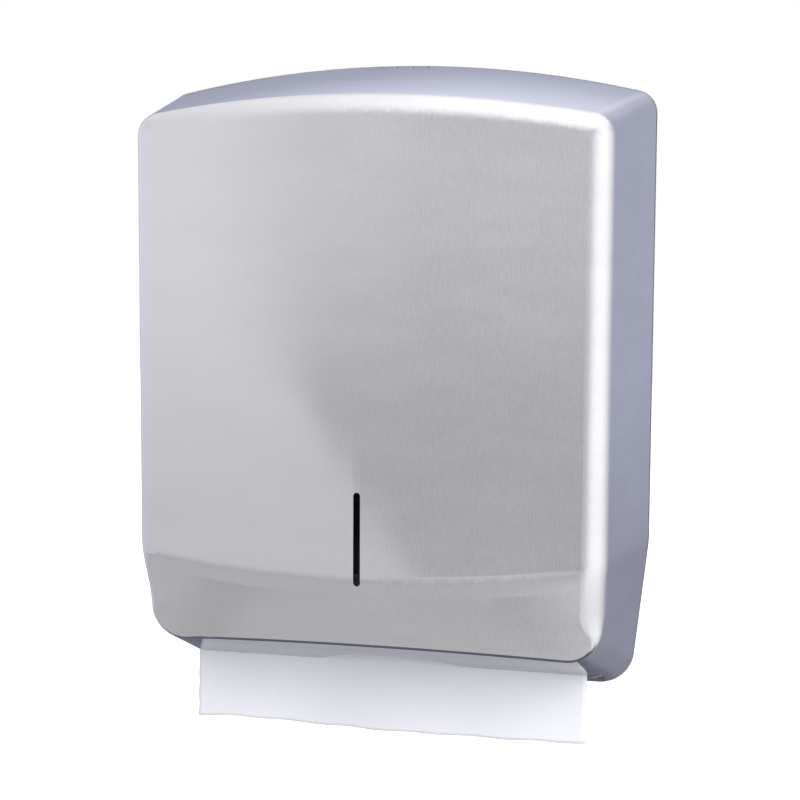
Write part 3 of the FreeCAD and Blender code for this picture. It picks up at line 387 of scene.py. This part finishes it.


# Back plate, side guides and tray
# Plain rolled stainless sheet as it comes from the mill, duller than the cover, with long faint lines.
# The plate is screwed to the wall. The guides and the lock's keeper are riveted to it, and the tray to
# the guides.
# Its faces that look down get a painted shade.
sheet_steel = brushed_steel(
    "sheet_steel", light=(0.59, 0.59, 0.62, 1), dark=(0.46, 0.465, 0.50, 1),
    underside_shade=(0.22, 0.22, 0.27, 1), roughness=0.34, depth=0.000006,
)
for name in ("back_plate", "side_guide_left", "side_guide_right", "paper_tray", "lock_keeper"):
    finished(name, sheet_steel)


# Rivets
# Aluminium rivets with low round heads, set by hand, so each head has faint smears. They hold the
# guides, the tray, the lock's keeper and the hinge.
def smeared_metal(name, light, dark, roughness, smear):
    """Smooth metal with soft smears in its gloss."""
    metal = Finish(bpy.data.materials.new(name))
    smear_count = 450
    smear_contrast = (0.3, 0.7)
    smears = metal.grain(smear_count, smear_count, smear_count, detail=4.0).rise(*smear_contrast)
    metal.surface(
        Base_Color=metal.mixed(light, dark, smears), Metallic=1.0, Roughness=roughness + smear * smears,
    )
    return metal.owner


rivet_metal = smeared_metal(
    "rivet_metal", light=(0.80, 0.80, 0.81, 1), dark=(0.68, 0.68, 0.70, 1), roughness=0.26, smear=0.14
)
for name in ("guide_rivets", "tray_rivets", "keeper_rivets", "hinge_rivets"):
    finished(name, rivet_metal)


# Hinge
# Two leaves of zinc plated sheet, darker and duller than the plate, with rolled knuckles, and a bright
# drawn pin.
# Its faces that look down get a painted shade.
hinge_steel = brushed_steel(
    "hinge_steel", light=(0.36, 0.36, 0.42, 1), dark=(0.26, 0.26, 0.31, 1),
    underside_shade=(0.2, 0.2, 0.24, 1), roughness=0.42, depth=0.000006,
)
finished("hinge_leaf_wall", hinge_steel)
finished("hinge_leaf_cover", hinge_steel)
pin_steel = smeared_metal(
    "pin_steel", light=(0.62, 0.62, 0.64, 1), dark=(0.52, 0.52, 0.54, 1), roughness=0.22, smear=0.10
)
finished("hinge_pin", pin_steel)


# Lock
# A cam lock through the cover's left side: a chrome plated barrel and plug outside, and dull zinc plated
# washer, nut, cam and screw inside.
lock_chrome = smeared_metal(
    "lock_chrome", light=(0.84, 0.84, 0.86, 1), dark=(0.78, 0.78, 0.80, 1), roughness=0.07, smear=0.06
)
for name in ("lock_body", "lock_plug"):
    finished(name, lock_chrome)
lock_zinc = smeared_metal(
    "lock_zinc", light=(0.66, 0.66, 0.66, 1), dark=(0.50, 0.51, 0.55, 1), roughness=0.30, smear=0.16
)
for name in ("lock_washer", "lock_nut", "lock_cam", "cam_screw"):
    finished(name, lock_zinc)


# Rubber buffers
# Small black moulded rubber stops, matt, with a faint bloom. They sit on the back plate, where the
# cover's rim comes to rest.
rubber = Finish(bpy.data.materials.new("buffer_rubber"))
bloom_count = 900
bloom_depth = 0.00005
bloom = rubber.grain(bloom_count, bloom_count, bloom_count, detail=3.0)
rubber.surface(
    Base_Color=rubber.mixed((0.035, 0.035, 0.035, 1), (0.075, 0.075, 0.078, 1), bloom),
    Roughness=0.65 + 0.2 * bloom, Normal=rubber.raised(bloom, bloom_depth),
)
finished("rubber_buffers", rubber.owner)


# Towel paper
# Soft white two-ply tissue with a fine emboss of short lines across, and loose fibres at its surface.
paper = Finish(bpy.data.materials.new("towel_paper"))
fibre_count = 900
emboss_count = 800
emboss_breaks = 110
mottle_count = 60
emboss_shade_share = 0.6
emboss_relief_share = 0.7
paper_relief = 0.00025
hollow_shade_colour = (0.82, 0.825, 0.88, 1)
raised_colour = (0.865, 0.87, 0.925, 1)
fibres = paper.grain(fibre_count, fibre_count, fibre_count, detail=4.0)
emboss = paper.grain(emboss_breaks, emboss_count, emboss_count, detail=1.0)
mottle = paper.grain(mottle_count, mottle_count, mottle_count, detail=2.0)
# Painted shade: the emboss's hollows are darker, and the mottle varies the tone at random.
paper.surface(
    Base_Color=paper.mixed(hollow_shade_colour, raised_colour, mottle.toward(emboss, emboss_shade_share)),
    Roughness=0.85 + 0.1 * fibres, Specular_IOR_Level=0.15, Sheen_Weight=0.08,
    Normal=paper.raised(fibres.toward(emboss, emboss_relief_share), paper_relief),
)


def paper_piece(name, rows, width_steps, point, thickness):
    """A sheet of paper through points, given by its row and its share of the width, with a thickness."""
    corners = [point(row, step / width_steps) for row in range(rows) for step in range(width_steps + 1)]
    stride = width_steps + 1
    starts = [row * stride + step for row in range(rows - 1) for step in range(width_steps)]
    faces = [(start, start + 1, start + stride + 1, start + stride) for start in starts]
    mesh = bpy.data.meshes.new(name)
    mesh.from_pydata(corners, [], faces)
    mesh.materials.append(paper.owner)
    piece = bpy.data.objects.new(name, mesh)
    scene.collection.objects.link(piece)
    bpy.ops.object.select_all(action="DESELECT")
    piece.select_set(True)
    bpy.context.view_layer.objects.active = piece
    solid = piece.modifiers.new("thickness", "SOLIDIFY")
    solid.thickness = thickness
    solid.offset = 0.0
    bpy.ops.object.modifier_apply(modifier=solid.name)
    bpy.ops.object.shade_smooth()
    return piece


def wave(place, height, rate, start=0.0):
    """A gentle rise and fall, up to a height to each side, at a place along it."""
    return height * math.sin(place * rate + start)


# Towel stack
# The last folded towels on the tray: each leaf is laid back over the one below, so the folds show as
# rounded edges at the front and at the back, none of them quite in line.
stack_low, stack_high = (Vector(corner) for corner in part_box("towel_stack"))
stack_leaves = 22
stack_play = 0.0003
stack_side_play = 0.0008
stack_end_play = 0.0030
fold_steps = 5
stack_width = stack_high.x - stack_low.x - 2 * stack_side_play
stack_pitch = (stack_high.z - stack_low.z - 2 * stack_play) / stack_leaves
stack_run = stack_high.y - stack_low.y - stack_end_play


def stack_point(row, share):
    """A point of the folded strip. Each leaf has a fold at its end, of a few steps round a half circle."""
    leaf, step = divmod(row, fold_steps)
    forward = leaf % 2 == 0
    turn = math.pi * step / (fold_steps - 1) - math.pi / 2
    slip = wave(leaf, height=0.0007, rate=2.4) + wave(leaf, height=0.0004, rate=1.1, start=share * 5.0)
    ripple = wave(share, height=0.00012, rate=21.0, start=leaf * 1.7)
    shift = wave(leaf, height=0.0005, rate=3.1)
    end = (stack_run / 2 + slip + stack_pitch / 2 * math.cos(turn)) * (-1 if forward else 1)
    return (
        stack_low.x + stack_side_play + stack_width * share + shift,
        (stack_low.y + stack_high.y) / 2 + end,
        stack_low.z + stack_play + stack_pitch * (leaf + 0.5 + 0.5 * math.sin(turn)) + ripple,
    )


stack = paper_piece(
    "folded_towels", rows=stack_leaves * fold_steps, width_steps=40, point=stack_point, thickness=0.0002
)
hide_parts("towel_stack")
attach(stack, "chassis")


# Hanging towel
# The next towel, hung out through the throat and the cut-out: two leaves folded together at the top, the
# rear one a little to the right of the front one. Its lower edge lifts where the paper curls at the left.
tail_low, tail_high = (Vector(corner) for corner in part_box("towel_tail"))
tail_top = tail_high.z - 0.0004
tail_foot = tail_low.z - 0.0006
tail_left = tail_low.x + 0.0003
tail_right = tail_high.x + 0.0008
tail_rows = 36
fold_rows = 7
hang_curve = 1.5
left_lean = 0.0030
left_lean_end = 1.15
right_lean = 0.0014
rear_slip = 0.0019
curl_place = -0.097
curl_reach = 0.030
curl_forward = 0.0020
curl_lift = 0.0024
leaf_gap = 0.0010
fold_height = 0.0005


def towel_point(row, share):
    """A point of the front leaf, of the fold at the top, or of the rear leaf."""
    if row < tail_rows:
        turn = 0.0
        drop = 1 - row / (tail_rows - 1)
    elif row < tail_rows + fold_rows:
        turn = math.pi * (row - tail_rows + 1) / (fold_rows + 1)
        drop = 0.0
    else:
        turn = math.pi
        drop = (row - tail_rows - fold_rows) / (tail_rows - 1)
    hang = drop ** hang_curve
    lean = math.sin(math.pi * min(drop * left_lean_end, 1.0) / 2)
    left = tail_left - left_lean * lean + wave(drop, height=0.00025, rate=37) * drop
    right = tail_right - right_lean * hang
    x = left + (right - left) * share + rear_slip * drop * math.sin(turn / 2)
    curl = math.exp(-((x - curl_place) / curl_reach) ** 2)
    sway = wave(x, height=0.0012, rate=31, start=0.6) + wave(x, height=0.0007, rate=73, start=2.0)
    gap = leaf_gap + wave(x, height=0.0007, rate=45, start=1.0) * drop
    front = (tail_low.y + tail_high.y) / 2
    y = front - hang * (curl_forward * curl + sway) - 0.5 * gap * math.cos(turn)
    foot = tail_foot + curl_lift * curl + wave(x, height=0.0003, rate=160)
    z = tail_top + (foot - tail_top) * drop + fold_height * math.sin(turn)
    return (x, y, z)


towel = paper_piece(
    "hanging_towel", rows=2 * tail_rows + fold_rows, width_steps=120, point=towel_point, thickness=0.00022
)
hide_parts("towel_tail")
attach(towel, "towel")
